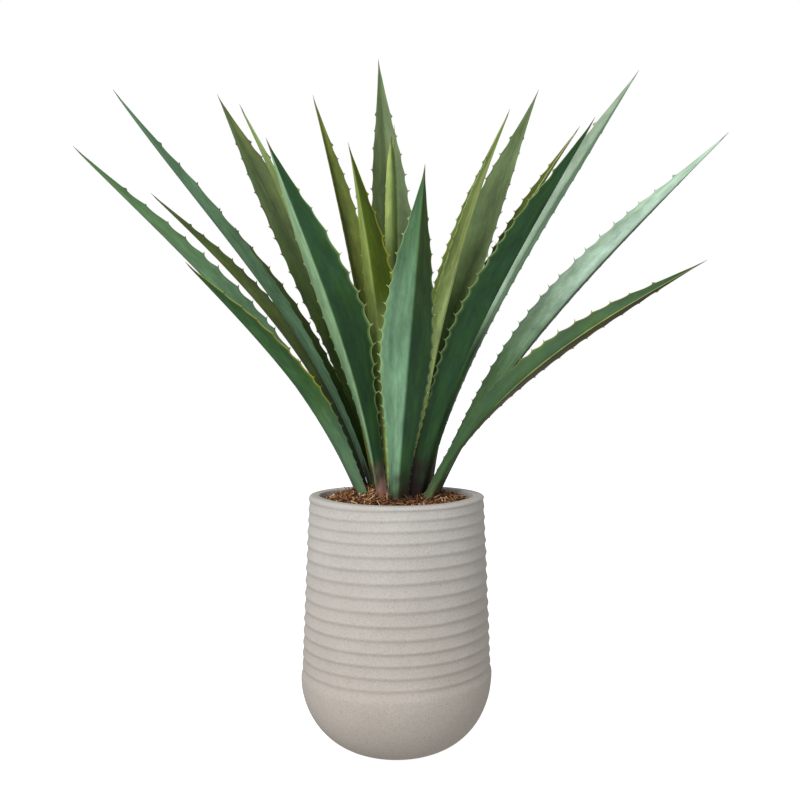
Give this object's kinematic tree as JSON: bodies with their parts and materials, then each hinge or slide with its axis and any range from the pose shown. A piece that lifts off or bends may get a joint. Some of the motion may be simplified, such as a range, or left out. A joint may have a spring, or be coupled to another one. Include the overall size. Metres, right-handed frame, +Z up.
{
  "type": "potted century plant",
  "caption": "Century plant: a rosette of long, V-folded, toothed green leaves with dark spines, in a round ribbed planter with bark mulch.",
  "frame": {"origin": "middle of the flat spot under the pot that the part stands on", "axes": "+Z up along the pot's axis, +X to the picture's right, -Y towards the camera"},
  "size_m": [1, 0.61, 1.137],
  "materials": {
    "pot": "matte, fine sandy grain",
    "soil": "loose dark compost",
    "stem": "rough, buried",
    "bark": "rough shredded bark",
    "leaf_green": "satin, with a light bloom",
    "leaf_olive": "satin",
    "leaf_pale": "satin, with a pale bloom"
  },
  "bodies": {
    "root": {"pot": "pot", "soil": "soil", "stem": "stem", "bark_mulch": "bark", "leaf_01": "leaf_green", "leaf_02": "leaf_green", "leaf_03": "leaf_olive", "leaf_04": "leaf_green", "leaf_05": "leaf_olive", "leaf_06": "leaf_pale", "leaf_07": "leaf_green", "leaf_08": "leaf_olive", "leaf_09": "leaf_olive", "leaf_10": "leaf_green", "leaf_11": "leaf_pale", "leaf_12": "leaf_green", "leaf_13": "leaf_olive", "leaf_14": "leaf_green", "leaf_15": "leaf_olive", "leaf_16": "leaf_green", "leaf_17": "leaf_pale", "leaf_18": "leaf_pale", "leaf_19": "leaf_green", "leaf_20": "leaf_green", "leaf_21": "leaf_green", "leaf_22": "leaf_green"}
  },
  "joints": []
}
